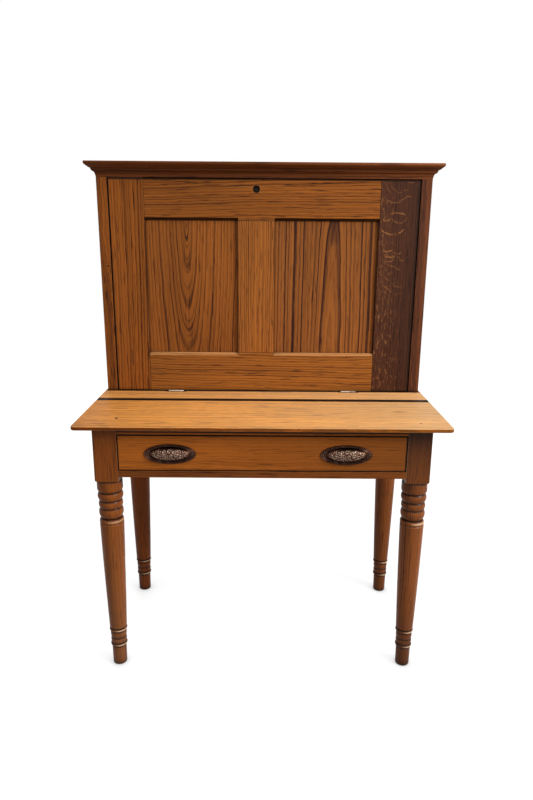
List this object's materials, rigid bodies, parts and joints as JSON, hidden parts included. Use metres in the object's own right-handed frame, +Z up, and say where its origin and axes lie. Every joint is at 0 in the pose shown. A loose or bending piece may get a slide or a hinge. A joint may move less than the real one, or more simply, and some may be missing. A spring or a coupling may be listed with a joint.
{
  "type": "fall-front writing desk",
  "caption": "Wooden fall-front writing desk: shallow panelled cabinet with a hinged fall on a table with a wide drawer, hooded pulls and turned legs.",
  "frame": {"origin": "on the floor under the middle of the table top's box", "axes": "+X to the desk's right as the sitter sees it, +Y towards the back boards, +Z up"},
  "size_m": [1.0062, 0.54, 1.381],
  "materials": {
    "face_wood": "oiled, worn",
    "top_wood": "oiled, worn",
    "dark_wood": "stained and rubbed",
    "quartered_wood": "stained, oiled",
    "inside_wood": "bare, aged",
    "antique_brass": "antiqued, rubbed",
    "hinge_steel": "worn, dull",
    "screw_steel": "dull",
    "lock_iron": "dark, oiled"
  },
  "bodies": {
    "desk": {"back_board_1": "inside_wood", "back_board_2": "inside_wood", "back_board_3": "inside_wood", "back_board_4": "inside_wood", "cabinet_floor": "inside_wood", "cabinet_top": "inside_wood", "drawer_kickers": "inside_wood", "drawer_stops": "inside_wood", "front_cornice": "dark_wood", "front_left_leg": "dark_wood", "front_right_leg": "dark_wood", "front_top_board": "top_wood", "head_rail": "face_wood", "hinge_pins": "hinge_steel", "left_apron": "face_wood", "left_cabinet_side": "face_wood", "left_cornice": "dark_wood", "left_drawer_runner": "inside_wood", "left_hinge_table_leaf": "hinge_steel", "lock_strike": "lock_iron", "lower_front_rail": "face_wood", "lower_shelf": "inside_wood", "pigeonhole_divider_1": "inside_wood", "pigeonhole_divider_2": "inside_wood", "pigeonhole_divider_3": "inside_wood", "pigeonhole_divider_4": "inside_wood", "rear_apron": "inside_wood", "rear_left_leg": "dark_wood", "rear_right_leg": "dark_wood", "rear_top_board": "top_wood", "right_apron": "face_wood", "right_cabinet_side": "quartered_wood", "right_cornice": "dark_wood", "right_drawer_runner": "inside_wood", "right_hinge_table_leaf": "hinge_steel", "table_hinge_screws": "screw_steel", "top_glue_blocks": "inside_wood", "upper_front_rail": "face_wood", "upper_shelf": "inside_wood"},
    "fall": {"fall_left_stile": "face_wood", "fall_right_stile": "quartered_wood", "fall_top_rail": "face_wood", "fall_bottom_rail": "face_wood", "fall_muntin": "face_wood", "fall_left_panel": "face_wood", "fall_right_panel": "face_wood", "left_hinge_fall_leaf": "hinge_steel", "right_hinge_fall_leaf": "hinge_steel", "fall_hinge_screws": "screw_steel", "lock_case": "lock_iron"},
    "bolt": {"lock_bolt": "lock_iron"},
    "drawer": {"drawer_front": "face_wood", "drawer_left_side": "inside_wood", "drawer_right_side": "inside_wood", "drawer_back": "inside_wood", "drawer_bottom": "inside_wood", "left_pull": "antique_brass", "right_pull": "antique_brass", "pull_screws": "screw_steel"}
  },
  "joints": [
    {"name": "fall_hinge", "type": "hinge", "parent": "desk", "child": "fall", "pos_m": [0, 0.108, 0.7185], "axis": [1, 0, 0], "range_deg": [0, 90]},
    {"name": "drawer_slide", "type": "slide", "parent": "desk", "child": "drawer", "axis": [0, -1, 0], "range_m": [0, 0.3]},
    {"name": "lock_bolt_slide", "type": "slide", "parent": "fall", "child": "bolt", "axis": [0, 0, 1], "range_m": [0, 0.009]}
  ]
}
